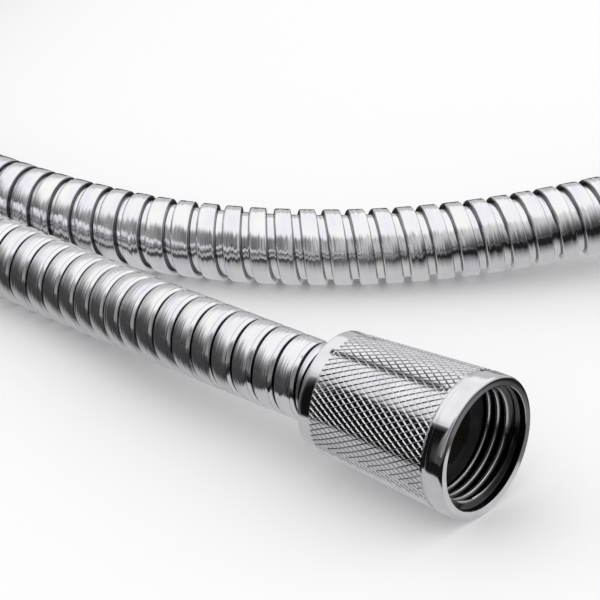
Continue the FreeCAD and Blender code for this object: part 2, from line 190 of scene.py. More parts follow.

# Far shoulder, rounded over: angles in degrees and how much painted shade darkens it, then its width and its
# drop below the crest
FAR_ROUND = [(90, 0.0), (75, 0.0), (55, 0.08), (30, 0.4), (0, 0.9)]
FAR_WIDTH, FAR_DROP = 0.28, 0.012

# The recess's floor gets painted shade at its edges, and all across while it is narrow, but its middle has none
# once it is pulled open, which happens between these distances from the jacket's rear end
FLOOR_EDGE = 0.18
SHADE_FREE_GAP, SHADE_FADE_GAP = 0.95, 0.25
OPENING_START, OPENING_END = 200, 110
PLAIN_ROUND, PLAIN_DROP = 0.3, 0.05

# Lengths that the picture shows are drawn fine, and the jacket's ends are bare for the hose end caps
FINE_FRONT, FINE_REAR, BARE_END = 110, 207, 2.9
FINE_COLUMNS, PLAIN_COLUMNS = 48, 24
TUBE_RADIUS, TUBE_REACH = 5.0, 6.25
TUBE_COLUMNS, TUBE_STEP = 16, 6.0
SHARP_EDGE = math.radians(40.0)


def recess_width(distance):
    """The strip lies shut at the front and is pulled open where the hose bends towards the rear coupling."""
    whole = hose_track.length
    return np.interp(distance, [0.0, whole - OPENING_START * MM, whole - OPENING_END * MM, whole],
                     [SHUT_GAP, SHUT_GAP, OPEN_GAP, OPEN_GAP])


def strip_section(distance):
    """Recess, rise, crest and far shoulder of one turn: distance along the hose, radius, and how much painted
    shade darkens it.
    """
    gap = recess_width(distance)
    open_share = (gap - SHUT_GAP) / (OPEN_GAP - SHUT_GAP)
    rise = [tuple(shut + (pulled - shut) * open_share for shut, pulled in zip(*pair))
            for pair in zip(SHUT_RISE, OPEN_RISE)]
    height = CREST - FAR_DROP - FOLD
    fall = [(PITCH - FAR_WIDTH * (1 - math.cos(math.radians(angle))),
             FOLD + height * math.sin(math.radians(angle)), painted_shade) for angle, painted_shade in FAR_ROUND]
    # Painted shade over the narrow recess's floor, standing in for the shade down in it; none in its middle once
    # it is open
    floor_painted_shade = np.clip((SHADE_FREE_GAP - gap) / SHADE_FADE_GAP, 0.0, 1.0)
    floor = FOLD + (OPEN_FLOOR - FOLD) * open_share
    recess = [(0.0, floor, 1.0), (FLOOR_EDGE, floor, floor_painted_shade), (gap - FLOOR_EDGE, floor, floor_painted_shade),
              (gap, floor, 1.0)]
    rise = [(gap + along, radius, painted_shade) for along, radius, painted_shade in rise]
    return recess + rise + [((gap + PITCH) / 2, CREST, 0.0)] + fall


def plain_section(distance):
    """The same turn in four points, for the part of the hose outside the picture."""
    gap = recess_width(distance)
    top = CREST - PLAIN_DROP
    # Painted shade in full at the fold, none on the crest
    return [(0.0, FOLD, 1.0), (gap, FOLD, 1.0), (gap + PLAIN_ROUND, top, 0.0), (PITCH - PLAIN_ROUND, top, 0.0)]


def wound_strip(track, start, finish, columns, pitch, section, blend=None):
    """Vertices, faces, strip coordinates and painted shade of a wound strip; each turn joins on to the next one.
    """
    pitch = pitch * MM
    angle = np.arange(columns) / columns
    first_turn = math.floor(start / pitch) - 1
    last_turn = math.ceil(finish / pitch) + 1
    grid_distance, grid_radius, grid_across, grid_along, grid_painted_shade = [], [], [], [], []
    for turn in range(first_turn, last_turn):
        distance = pitch * (turn + angle)
        for across, radius, painted_shade in section(distance):
            grid_across.append(np.zeros(columns) + across * MM)
            grid_painted_shade.append(np.zeros(columns) + painted_shade)
            grid_radius.append(np.zeros(columns) + radius * MM)
            grid_distance.append(distance + grid_across[-1])
            grid_along.append(turn + angle)
    distance, across, along = (np.array(grid) for grid in (grid_distance, grid_across, grid_along))
    held = np.clip(distance, start, finish)
    radius = np.array(grid_radius)
    if blend:
        radius = blend(held, radius)
    point, rise, side = track.at(held)
    turned = angle * 2 * math.pi
    where = point + rise * (radius * np.cos(turned))[..., None] + side * (radius * np.sin(turned))[..., None]
    rows = len(section(angle))
    faces, strip_places = [], []
    for row in range(distance.shape[0] - 1):
        for column in range(columns):
            wrap = column + 1 == columns
            low, high = (row, column), (row + 1, column)
            low_next = (row + rows, 0) if wrap else (row, column + 1)
            high_next = (row + 1 + rows, 0) if wrap else (row + 1, column + 1)
            if high_next[0] >= distance.shape[0]:
                continue
            corners = (low, low_next, high_next, high)
            reached = [distance[corner] for corner in corners]
            if max(reached) <= start or min(reached) >= finish:
                continue
            faces.append([corner[0] * columns + corner[1] for corner in corners])
            near, here, ahead = across[low], along[low], along[low] + 1.0 / columns
            far = across[high] + (pitch if row % rows == rows - 1 else 0.0)
            strip_places.append([(near, here), (near, ahead), (far, ahead), (far, here)])
    return where.reshape(-1, 3).tolist(), faces, strip_places, np.array(grid_painted_shade).ravel().tolist()


def mesh_piece(name, vertices, faces, strip_places, painted_shades):
    """Piece from a wound strip, with what its material needs."""
    mesh = bpy.data.meshes.new(name)
    mesh.from_pydata(vertices, [], faces)
    layer = mesh.uv_layers.new(name="strip")
    layer.data.foreach_set("uv", np.array(strip_places, dtype=np.float32).ravel())
    # The painted shade goes to the strip's material as a vertex attribute
    mesh.attributes.new("painted_shade", "FLOAT", "POINT").data.foreach_set("value", painted_shades)
    mesh.shade_smooth()
    mesh.set_sharp_from_angle(angle=SHARP_EDGE)
    piece = bpy.data.objects.new(name, mesh)
    bpy.context.scene.collection.objects.link(piece)
    return piece


hose_track = route_line("hose_line", 0.0)
hose_points = hose_track.points
vertices, faces, strip_places, painted_shades = [], [], [], []
fine_front = FINE_FRONT * MM
fine_rear = hose_track.length - FINE_REAR * MM
bare = BARE_END * MM
for start, finish, columns, section in ((bare, fine_front, FINE_COLUMNS, strip_section),
                                        (fine_front, fine_rear, PLAIN_COLUMNS, plain_section),
                                        (fine_rear, hose_track.length - bare, FINE_COLUMNS, strip_section)):
    points, sides, places, more_painted_shades = wound_strip(hose_track, start, finish, columns, PITCH, section)
    faces += [[len(vertices) + number for number in side] for side in sides]
    vertices += points
    strip_places += places
    painted_shades += more_painted_shades
jacket = mesh_piece("hose_jacket", vertices, faces, strip_places, painted_shades)
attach(jacket, "hose")
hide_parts("front_hose", "hose_coil", "rear_hose")

tube_track = route_line("tube_line", TUBE_REACH)
tube = mesh_piece("inner_tube", *wound_strip(tube_track, 0.0, tube_track.length, TUBE_COLUMNS, TUBE_STEP,
                                             lambda distance: [(0.0, TUBE_RADIUS, 0.0)]))
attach(tube, "hose")
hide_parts("front_tube", "coil_tube", "rear_tube")


# Handling pieces in Blender
def take(piece):
    """Makes one piece the selected and active one."""
    bpy.ops.object.select_all(action="DESELECT")
    piece.select_set(True)
    bpy.context.view_layer.objects.active = piece


def pick_faces(piece, wanted):
    """Selects the faces that pass a test, for the next operators in edit mode."""
    mesh = piece.data
    bpy.context.tool_settings.mesh_select_mode = (False, False, True)
    mesh.vertices.foreach_set("select", [False] * len(mesh.vertices))
    mesh.edges.foreach_set("select", [False] * len(mesh.edges))
    mesh.polygons.foreach_set("select", [bool(wanted(face)) for face in mesh.polygons])


def pick_rims(piece, wanted):
    """Selects the open edges whose middle passes a test."""
    mesh = piece.data
    bpy.context.tool_settings.mesh_select_mode = (False, True, False)
    used = {}
    for face in mesh.polygons:
        for key in face.edge_keys:
            used[key] = used.get(key, 0) + 1
    mesh.vertices.foreach_set("select", [False] * len(mesh.vertices))
    mesh.polygons.foreach_set("select", [False] * len(mesh.polygons))
    for edge in mesh.edges:
        middle = (mesh.vertices[edge.vertices[0]].co + mesh.vertices[edge.vertices[1]].co) / 2
        edge.select = used.get(edge.key, 0) == 1 and bool(wanted(middle))
        if edge.select:
            for number in edge.vertices:
                mesh.vertices[number].select = True


# Knurl: pads left standing between two crossed sets of fine rolled grooves, whose flanks rise in steps that are
# each given as width and rise
KNURL_FRONT, KNURL_BACK = 4.2, 28.0
KNURL_FRONT_RADIUS, KNURL_BACK_RADIUS = 12.05, 10.5
KNURL_TEETH = 62
KNURL_ROWS = 12.2
GROOVE_STEPS = [(0.14, 0.14), (0.12, 0.008)]
SEGMENTS = 192
WELD = 0.002 * MM
PAD_EDGE = math.radians(28.0)


def knurl_sheet():
    """Sheet of diamond pads, made flat with the nut's length in x, then rolled up into the nut's cone."""
    row = (KNURL_BACK - KNURL_FRONT) / KNURL_ROWS
    tooth = 2 * math.pi * (KNURL_FRONT_RADIUS + KNURL_BACK_RADIUS) / 2 / KNURL_TEETH
    length, around = KNURL_ROWS * row, KNURL_TEETH * tooth
    spare = 6
    cells = int(KNURL_ROWS + KNURL_TEETH) + spare
    bpy.ops.object.select_all(action="DESELECT")
    bpy.ops.mesh.primitive_grid_add(x_subdivisions=cells, y_subdivisions=cells, size=cells)
    sheet = bpy.context.object
    bpy.ops.object.mode_set(mode="EDIT")
    bpy.ops.transform.rotate(value=math.pi / 4, orient_axis="Z", center_override=(0, 0, 0))
    bpy.ops.transform.resize(value=(row / math.sqrt(2), tooth / math.sqrt(2), 1), center_override=(0, 0, 0))
    bpy.ops.object.mode_set(mode="OBJECT")
    pick_faces(sheet, lambda face: (abs(face.center.x) > length / 2 + row
                                    or abs(face.center.y) > around / 2 + tooth))
    bpy.ops.object.mode_set(mode="EDIT")
    bpy.ops.mesh.select_mode(type="FACE")
    bpy.ops.mesh.delete(type="FACE")
    bpy.ops.mesh.select_all(action="SELECT")
    for width, rise in GROOVE_STEPS:
        bpy.ops.mesh.inset(thickness=width, depth=rise, use_individual=True)
    for cut, way in (((length / 2, 0, 0), (1, 0, 0)), ((-length / 2, 0, 0), (-1, 0, 0)),
                     ((0, around / 2, 0), (0, 1, 0)), ((0, -around / 2, 0), (0, -1, 0))):
        bpy.ops.mesh.select_all(action="SELECT")
        bpy.ops.mesh.bisect(plane_co=cut, plane_no=way, clear_outer=True)
    bpy.ops.object.mode_set(mode="OBJECT")
    depth = sum(rise for width, rise in GROOVE_STEPS)
    for vertex in sheet.data.vertices:
        x, y, z = vertex.co
        share = x / length + 0.5
        radius = KNURL_FRONT_RADIUS + (KNURL_BACK_RADIUS - KNURL_FRONT_RADIUS) * share + z - depth
        angle = y / around * 2 * math.pi
        vertex.co = place(-KNURL_FRONT - share * length, radius * math.cos(angle),
                          AXIS_HEIGHT + radius * math.sin(angle))
    sheet.data.update()
    return sheet


def depth_behind_mouth(point):
    return (FRONT_MOUTH.x - point.x) / MM


def radius_from_axis(point):
    return math.hypot(point.y - FRONT_MOUTH.y, point.z - FRONT_MOUTH.z) / MM


def rounded_corner(depth, radius, round_off, first, last):
    """Points of a rounded corner, in depth and radius, between two angles in degrees."""
    steps = 6
    angles = [math.radians(first + (last - first) * i / steps) for i in range(steps + 1)]
    return [(depth + round_off * math.cos(angle), radius + round_off * math.sin(angle)) for angle in angles]


def turned_shell(name, profile):
    """Profile in depth and radius, millimetres, spun about the front coupling's axis."""
    mesh = bpy.data.meshes.new(name)
    points = [place(-depth, -radius, AXIS_HEIGHT) for depth, radius in profile]
    mesh.from_pydata(points, [(i, i + 1) for i in range(len(points) - 1)], [])
    shell = bpy.data.objects.new(name, mesh)
    bpy.context.scene.collection.objects.link(shell)
    take(shell)
    bpy.ops.object.mode_set(mode="EDIT")
    bpy.ops.mesh.select_mode(type="VERT")
    bpy.ops.mesh.select_all(action="SELECT")
    bpy.ops.mesh.spin(steps=SEGMENTS, angle=2 * math.pi, center=FRONT_MOUTH, axis=(1, 0, 0))
    bpy.ops.mesh.select_all(action="SELECT")
    bpy.ops.mesh.remove_doubles(threshold=WELD)
    bpy.ops.object.mode_set(mode="OBJECT")
    return shell


# Inside thread, G 1/2: 14 threads to the inch, crests and roots rounded, with a plain bore at both ends
THREAD_PITCH = 1.814
THREAD_START, THREAD_END = 1.2, 9.5
FRONT_RUN, BACK_RUN = 0.8, 0.5
FRONT_BORE, BACK_BORE = 10.6, 10.7
THREAD_SECTION = [(0.0, 10.45), (0.12, 10.42), (0.24, 10.27), (0.6, 9.62), (0.7, 9.48), (0.82, 9.42),
                  (0.99, 9.42), (1.11, 9.48), (1.21, 9.62), (1.57, 10.27), (1.69, 10.42)]

# Ring at the mouth, and collar at the back with the bore in front of it: points in depth and radius
RING_RADIUS, RING_ROUND = 12.15, 0.55
COLLAR_RADIUS, COLLAR_ROUND = 10.38, 0.3
WHOLE_DEPTH, BACK_HOLE, WASHER_SEAT = 30.6, 7.5, 12.85
RING_PROFILE = ([(THREAD_START, FRONT_BORE), (0.06, FRONT_BORE), (0.0, 10.66), (0.0, 11.2)]
                + rounded_corner(RING_ROUND, RING_RADIUS - RING_ROUND, RING_ROUND, 180, 90)
                + [(1.4, RING_RADIUS), (2.4, RING_RADIUS)] + rounded_corner(3.08, 12.03, 0.12, 90, 0)
                + [(3.2, 11.85)] + rounded_corner(3.3, 11.85, 0.1, 180, 270) + [(4.2, 11.75)])
COLLAR_PROFILE = ([(28.0, 10.335), (28.03, COLLAR_RADIUS), (28.8, COLLAR_RADIUS), (29.6, COLLAR_RADIUS)]
                  + rounded_corner(WHOLE_DEPTH - COLLAR_ROUND, COLLAR_RADIUS - COLLAR_ROUND, COLLAR_ROUND, 90, 0)
                  + [(WHOLE_DEPTH, 9.0), (WHOLE_DEPTH, 7.56), (30.54, BACK_HOLE), (WASHER_SEAT, BACK_HOLE),
                     (WASHER_SEAT, BACK_BORE), (THREAD_END, BACK_BORE)])

# Rims of the knurl, the ring and the collar that are joined: their depths, and the radius that they lie outside
JOINED_RIMS = ((2.0, 10.0), (20.0, 29.0))
JOINED_OUTSIDE = 10.2


def run_out(distance, radius):
    """Flattens the thread into the plain bore at both of its ends."""
    depth = distance / MM
    share = np.clip((depth - THREAD_START) / FRONT_RUN, 0.0, 1.0)
    radius = FRONT_BORE * MM + (radius - FRONT_BORE * MM) * share
    share = np.clip((THREAD_END - depth) / BACK_RUN, 0.0, 1.0)
    return BACK_BORE * MM + (radius - BACK_BORE * MM) * share


def thread_shell():
    """Thread wound as a helix about the nut's axis."""
    axis = Track(np.array([FRONT_MOUTH - Vector((depth * MM, 0.0, 0.0)) for depth in (0.0, 15.0, 30.0)]))
    parts = wound_strip(axis, THREAD_START * MM, THREAD_END * MM, SEGMENTS, THREAD_PITCH,
                        lambda distance: [(along, radius, 0.0) for along, radius in THREAD_SECTION], run_out)
    return mesh_piece("thread", *parts)


def mark_points(piece, name, rule):
    """Stores a rule's three numbers at every vertex for the materials, in millimetres."""
    layer = piece.data.attributes.new(name, "FLOAT_VECTOR", "POINT")
    values = np.array([rule(vertex.co) for vertex in piece.data.vertices], dtype=np.float32)
    layer.data.foreach_set("vector", values.ravel())


def knurled_nut():
    """Turned ring and collar, the knurl between them, and the threaded bore inside."""
    parts = [knurl_sheet(), turned_shell("ring", RING_PROFILE), turned_shell("collar", COLLAR_PROFILE),
             thread_shell()]
    bpy.ops.object.select_all(action="DESELECT")
    for part in parts:
        part.select_set(True)
    body = parts[1]
    body.name = body.data.name = "front_nut_knurled"
    bpy.context.view_layer.objects.active = body
    bpy.ops.object.join()
    take(body)
    bpy.ops.object.mode_set(mode="EDIT")
    bpy.ops.mesh.select_all(action="SELECT")
    bpy.ops.mesh.remove_doubles(threshold=WELD)
    bpy.ops.object.mode_set(mode="OBJECT")
    for low, high in JOINED_RIMS:
        pick_rims(body, lambda point: (low < depth_behind_mouth(point) < high
                                       and radius_from_axis(point) > JOINED_OUTSIDE))
        bpy.ops.object.mode_set(mode="EDIT")
        bpy.ops.mesh.select_mode(type="EDGE")
        bpy.ops.mesh.fill(use_beauty=True)
        bpy.ops.object.mode_set(mode="OBJECT")
    bpy.ops.object.mode_set(mode="EDIT")
    bpy.ops.mesh.select_all(action="SELECT")
    bpy.ops.mesh.normals_make_consistent(inside=False)
    bpy.ops.object.mode_set(mode="OBJECT")
    bpy.ops.object.shade_smooth_by_angle(angle=PAD_EDGE)
    bpy.ops.object.modifier_add(type="WEIGHTED_NORMAL")
    body.modifiers[-1].keep_sharp = True
    bpy.ops.object.modifier_apply(modifier=body.modifiers[-1].name)
    mark_points(body, "turned", lambda point: (depth_behind_mouth(point), radius_from_axis(point), 0.0))
    return body


# The rear nut is the front one, moved to the rear coupling
front_nut = knurled_nut()
front_way, rear_way = (Vector(MOUNTS[name]["axis"]) for name in ("front_thread", "rear_thread"))
turn = math.atan2(rear_way.y, rear_way.x) - math.atan2(front_way.y, front_way.x)
TO_REAR = (Matrix.Translation(Vector(MOUNTS["rear_thread"]["pos_m"])) @ Matrix.Rotation(turn, 4, "Z")
           @ Matrix.Translation(-FRONT_MOUTH))
rear_nut = bpy.data.objects.new("rear_nut_knurled", front_nut.data.copy())
bpy.context.scene.collection.objects.link(rear_nut)
rear_nut.data.transform(TO_REAR)
for piece, end in ((front_nut, "front"), (rear_nut, "rear")):
    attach(piece, end + "_nut_body")
    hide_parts(end + "_nut")

# Straps that tie the put-away coil: a band right round the stack of turns, and its end laid back over the top.
# Each has its reach from the hoses' centres, its first and last angle seen along the hose, its width as an angle
# of the coil and its thickness
BAND = (7.75, 0.0, 360.0, 8.0, 1.0)
FLAP = (8.7, 40.0, 128.0, 7.4, 0.8)
STRAP_STEPS, STRAP_ACROSS, STRAP_ROUND = 72, 8, 0.2

# Middle of the stack of turns, round which the weave is laid, and half of the stack's size
STACK_RADIUS, STACK_HEIGHT, STACK_HALF = 72.0, 15.5, 16.0

# Where each tie meets the turns that it holds, in degrees of travel along the coil
TIES = {"coil_tie_one": (21.0, 381.0, 741.0), "coil_tie_two": (244.0, 604.0, 964.0)}


def strap_layer(name, travels, reach, first, last, width, thick):
    """Band that follows the stack of turns, whole or between two angles."""
    centre = Vector((*COIL_CENTRE, 0.0))
    turns = [coil_point(travel) - centre for travel in travels]
    middles = [(math.hypot(turn.x, turn.y), turn.z) for turn in turns]
    azimuth = math.radians(COIL_START - travels[0] - width / 2)
    whole = last - first >= 360.0
    points = []
    for i in range(STRAP_STEPS + 1 - whole):
        angle = math.radians(first + (last - first) * i / STRAP_STEPS)
        out, up = math.cos(angle), math.sin(angle)
        radius, height = max(middles, key=lambda middle: middle[0] * out + middle[1] * up)
        radius, height = radius + reach * out, height + reach * up
        x, y = centre.x + radius * math.cos(azimuth), centre.y + radius * math.sin(azimuth)
        points.append(place(x, y, height))
    mesh = bpy.data.meshes.new(name)
    count = len(points)
    mesh.from_pydata(points, [(i, (i + 1) % count) for i in range(count - (not whole))], [])
    layer = bpy.data.objects.new(name, mesh)
    bpy.context.scene.collection.objects.link(layer)
    take(layer)
    bpy.ops.object.mode_set(mode="EDIT")
    bpy.ops.mesh.select_all(action="SELECT")
    bpy.ops.mesh.spin(steps=STRAP_ACROSS, angle=math.radians(width), center=place(*centre), axis=(0, 0, 1))
    bpy.ops.mesh.select_all(action="SELECT")
    bpy.ops.mesh.normals_make_consistent(inside=False)
    bpy.ops.object.mode_set(mode="OBJECT")
    bpy.ops.object.modifier_add(type="SOLIDIFY")
    layer.modifiers[-1].thickness = thick * MM
    layer.modifiers[-1].offset = 0.0
    bpy.ops.object.modifier_apply(modifier=layer.modifiers[-1].name)
    bpy.ops.object.modifier_add(type="BEVEL")
    layer.modifiers[-1].width = STRAP_ROUND * MM
    layer.modifiers[-1].segments = 2
    bpy.ops.object.modifier_apply(modifier=layer.modifiers[-1].name)
    return layer


def lay_of_strap(point):
    """Place on the woven tape, across it and round the stack."""
    x, y, z = (point - place(*COIL_CENTRE, 0.0)) / MM
    radius = math.hypot(x, y)
    return math.atan2(y, x) * radius, math.atan2(z - STACK_HEIGHT, radius - STACK_RADIUS) * STACK_HALF, 0.0


for node_name, travels in TIES.items():
    strap = strap_layer(node_name + "_strap", travels, *BAND)
    flap = strap_layer(node_name + "_flap", travels, *FLAP)
    take(strap)
    flap.select_set(True)
    bpy.ops.object.join()
    bpy.ops.object.shade_smooth_by_angle(angle=SHARP_EDGE)
    mark_points(strap, "lay", lay_of_strap)
    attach(strap, "hose")
    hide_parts(node_name)


# Materials
def linear(code):
    """sRGB hex colour as linear light."""
    parts = [int(code[i:i + 2], 16) / 255 for i in (0, 2, 4)]
    return [p / 12.92 if p <= 0.04045 else ((p + 0.055) / 1.055) ** 2.4 for p in parts] + [1.0]


def add_node(tree, kind, settings=None, links=None):
    """One shader node with its settings and inputs; a link is an output socket."""
    node = tree.nodes.new(kind)
    for name, value in (settings or {}).items():
        if name in node.inputs:
            node.inputs[name].default_value = value
        else:
            setattr(node, name, value)
    for name, socket in (links or {}).items():
        tree.links.new(socket, node.inputs[name])
    return node


def new_material(name):
    """Material with an empty node tree."""
    material = bpy.data.materials.new(name)
    material.use_nodes = True
    material.node_tree.nodes.clear()
    return material, material.node_tree


def grain(tree, cells, where=None, detail=3.0):
    """Cloudy pattern from 0 to 1; cells is how many of its clouds lie in a millimetre, for each axis."""
    where = where or add_node(tree, "ShaderNodeTexCoord").outputs["Object"]
    fitted = add_node(tree, "ShaderNodeMapping", {"Scale": [number / MM for number in cells]},
                      {"Vector": where})
    clouds = add_node(tree, "ShaderNodeTexNoise", {"Scale": 1.0, "Detail": detail},
                      {"Vector": fitted.outputs[0]})
    return add_node(tree, "ShaderNodeMapRange", {"From Min": 0.3, "From Max": 0.7},
                    {"Value": clouds.outputs["Fac"]}).outputs["Result"]


def surface(tree, share, colours, wear, roughness, metallic, height, depth, normal=None):
    """Colour by one pattern and roughness by another, over a relief so many millimetres deep."""
    colour = add_node(tree, "ShaderNodeMix", {"data_type": "RGBA"}, {0: share})
    for slot, value in zip((6, 7), colours):
        if isinstance(value, str):
            colour.inputs[slot].default_value = linear(value)
        else:
            tree.links.new(value, colour.inputs[slot])
    rough = add_node(tree, "ShaderNodeMapRange", {"To Min": roughness[0], "To Max": roughness[1]},
                     {"Value": wear})
    bump = add_node(tree, "ShaderNodeBump", {"Strength": 1.0, "Distance": depth * MM}, {"Height": height})
    if normal:
        tree.links.new(normal, bump.inputs["Normal"])
    shader = add_node(tree, "ShaderNodeBsdfPrincipled", {"Metallic": metallic},
                      {"Base Color": colour.outputs[2], "Roughness": rough.outputs["Result"],
                       "Normal": bump.outputs[0]})
    add_node(tree, "ShaderNodeOutputMaterial", links={"Surface": shader.outputs[0]})


def chromed_brass():
    """Mirror plating: cloudy wiping marks, and the last polishing lines, which run round the ring."""
    material, tree = new_material("chromed_brass_polished")
    wiped = grain(tree, (0.25, 0.25, 0.25))
    turned = add_node(tree, "ShaderNodeAttribute", {"attribute_name": "turned"}).outputs["Vector"]
    lines = grain(tree, (4.0 * MM, 0.5 * MM, 1.0 * MM), turned)
    surface(tree, wiped, ("F0F0F3", "E2E1E6"), wiped, (0.04, 0.10), 1.0, lines, 0.0006)
    return material


def plated_bore():
    """Inside of the nut: plated metal, bright on the thread's crests, with painted shade darkening the roots."""
    material, tree = new_material("chromed_brass_thread")
    turned = add_node(tree, "ShaderNodeAttribute", {"attribute_name": "turned"}).outputs["Vector"]
    radius = add_node(tree, "ShaderNodeSeparateXYZ", links={"Vector": turned}).outputs["Y"]
    # Painted shade in the thread's roots: the colour falls from E6E6E8 at the crests to 545250 deep in the roots
    painted_root_shade = add_node(tree, "ShaderNodeMapRange", {"From Min": 9.45, "From Max": 9.8}, {"Value": radius})
    mottled = grain(tree, (1.4, 1.4, 1.4))
    surface(tree, painted_root_shade.outputs["Result"], ("E6E6E8", "545250"), mottled, (0.10, 0.24), 1.0, mottled, 0.004)
    return material


def wound_steel():
    """Steel strip: fine rolling streaks along it, drawn twice as wide as real, that lean a little to and fro.

    The fold and the recess are darkened to a dark grey by painted shade, and the whole has faint heat tints.
    """
    material, tree = new_material("stainless_strip_rolled")
    strip = add_node(tree, "ShaderNodeUVMap", {"uv_map": "strip"}).outputs["UV"]
    painted_shade = add_node(tree, "ShaderNodeAttribute", {"attribute_name": "painted_shade"}).outputs["Fac"]
    streaks = grain(tree, (3.0, 3.0 * MM, 1.0 * MM), strip, 2.0)
    tinted = grain(tree, (0.35, 5.0 * MM, 1.0 * MM), strip, 2.0)
    bright = add_node(tree, "ShaderNodeMix", {"data_type": "RGBA"}, {0: tinted})
    bright.inputs[6].default_value, bright.inputs[7].default_value = linear("F8F8F6"), linear("ECEAF4")
    normal = add_node(tree, "ShaderNodeNewGeometry").outputs["Normal"]
    across = add_node(tree, "ShaderNodeTangent", {"direction_type": "UV_MAP", "uv_map": "strip"}).outputs[0]
    around = add_node(tree, "ShaderNodeVectorMath", {"operation": "CROSS_PRODUCT"}, {0: normal, 1: across})
    lean = add_node(tree, "ShaderNodeMapRange", {"To Min": -0.07, "To Max": 0.07},
                    {"Value": grain(tree, (2.2, 2.3 * MM, 1.0 * MM), strip, 2.0)})
    tipped = add_node(tree, "ShaderNodeVectorMath", {"operation": "SCALE"},
                      {0: around.outputs[0], "Scale": lean.outputs["Result"]})
    leaning = add_node(tree, "ShaderNodeVectorMath", {"operation": "ADD"}, {0: normal, 1: tipped.outputs[0]})
    even = add_node(tree, "ShaderNodeVectorMath", {"operation": "NORMALIZE"}, {0: leaning.outputs[0]})
    # Painted shade: the strip's colour falls to 47464D where the painted shade attribute is high, in the fold
    # and recess
    surface(tree, painted_shade, (bright.outputs[2], "47464D"), streaks, (0.06, 0.19), 1.0, streaks, 0.025,
            even.outputs[0])
    return material


def turned_brass():
    """Bare brass with tool marks and brown tarnish in patches."""
    material, tree = new_material("brass_turned")
    tarnish = grain(tree, (0.35, 0.35, 0.35))
    marks = grain(tree, (3.0, 3.0, 3.0))
    surface(tree, tarnish, ("CDAE6C", "A8854A"), tarnish, (0.20, 0.36), 1.0, marks, 0.0024)
    return material


def moulded_acetal():
    """White slippery plastic: faint flow marks and a satin skin."""
    material, tree = new_material("acetal_moulded")
    flow = grain(tree, (0.3, 0.3, 0.3))
    skin = grain(tree, (4.0, 4.0, 4.0))
    surface(tree, flow, ("F1F0EA", "E6E4DC"), flow, (0.34, 0.48), 0.0, skin, 0.0016)
    return material


def pressed_steel():
    """Crimped stainless sleeve with rub marks from the press jaws."""
    material, tree = new_material("stainless_pressed")
    rubbed = grain(tree, (0.8, 0.8, 0.8))
    surface(tree, rubbed, ("D5D5D8", "B4B3B6"), rubbed, (0.16, 0.34), 1.0, rubbed, 0.004)
    return material


def black_rubber(name, light, dark, roughness):
    """Rubber with a fine matt grain and a pale bloom in places."""
    material, tree = new_material(name)
    bloom = grain(tree, (0.5, 0.5, 0.5))
    matt = grain(tree, (5.0, 5.0, 5.0))
    surface(tree, bloom, (dark, light), bloom, roughness, 0.0, matt, 0.005)
    return material


def woven_strap():
    """Plain-woven nylon tape: over and under every 0.9 mm, with paler worn threads on top."""
    material, tree = new_material("nylon_tape_woven")
    lay = add_node(tree, "ShaderNodeAttribute", {"attribute_name": "lay"}).outputs["Vector"]
    waves = [add_node(tree, "ShaderNodeTexWave", {"bands_direction": way, "Scale": 0.35, "Distortion": 0.4},
                      {"Vector": lay}).outputs["Fac"] for way in ("X", "Y")]
    weave = add_node(tree, "ShaderNodeMath", {"operation": "MULTIPLY"}, {0: waves[0], 1: waves[1]}).outputs[0]
    fuzz = grain(tree, (3.0, 3.0, 3.0))
    surface(tree, weave, ("26272C", "4A4C54"), fuzz, (0.72, 0.92), 0.0, weave, 0.12)
    return material


chrome, bore, steel = chromed_brass(), plated_bore(), wound_steel()
brass, acetal, pressed = turned_brass(), moulded_acetal(), pressed_steel()
washer = black_rubber("nitrile_moulded", "2A2A2C", "19191B", (0.45, 0.62))
epdm = black_rubber("epdm_extruded", "34353A", "232427", (0.50, 0.66))
tape = woven_strap()

# Faces inside the nut's mouth, down to the washer's seat: their depths and the radius that they lie within
BORE_DEPTHS = (0.05, 12.8)
BORE_WITHIN = 10.75


def dress(piece, *materials):
    piece.data.materials.clear()
    for material in materials:
        piece.data.materials.append(material)


for end in ("front", "rear"):
    for kind, material in (("washer", washer), ("insert", brass), ("bush", acetal), ("hose_cap", chrome),
                           ("crimp_ring", pressed)):
        dress(frame["nodes"][end + "_" + kind], material)
dress(jacket, steel)
dress(tube, epdm)
for node_name in TIES:
    dress(bpy.data.objects[node_name + "_strap"], tape)
for nut, back in ((front_nut, Matrix()), (rear_nut, TO_REAR.inverted())):
    dress(nut, chrome, bore)
    for face in nut.data.polygons:
        centre = back @ face.center
        face.material_index = int(BORE_DEPTHS[0] < depth_behind_mouth(centre) < BORE_DEPTHS[1]
                                  and radius_from_axis(centre) < BORE_WITHIN)

# Floor of plain white paint, on which the eye sees only the soft shadow
bpy.ops.object.select_all(action="DESELECT")
bpy.ops.mesh.primitive_plane_add(size=8.0, location=(0.0, 0.0, 0.0))
floor = bpy.context.object
floor.name = "floor"
material, tree = new_material("floor_white")
painted = add_node(tree, "ShaderNodeBsdfDiffuse", {"Color": linear("FFFFFF")})
add_node(tree, "ShaderNodeOutputMaterial", links={"Surface": painted.outputs[0]})
floor.data.materials.append(material)

# Studio that only the metal's reflections see: a table with a pale strip along the object, and a room that is
# dark in front up to a soft edge and pale overhead. Greys are shares of white on the screen
ROOM = 2400 * MM
MIDDLE_OF_ROOM = place(-80.0, 30.0, 0.0)
DARK, NUT_DARK, FAR_TABLE = 0.26, 0.12, 0.3

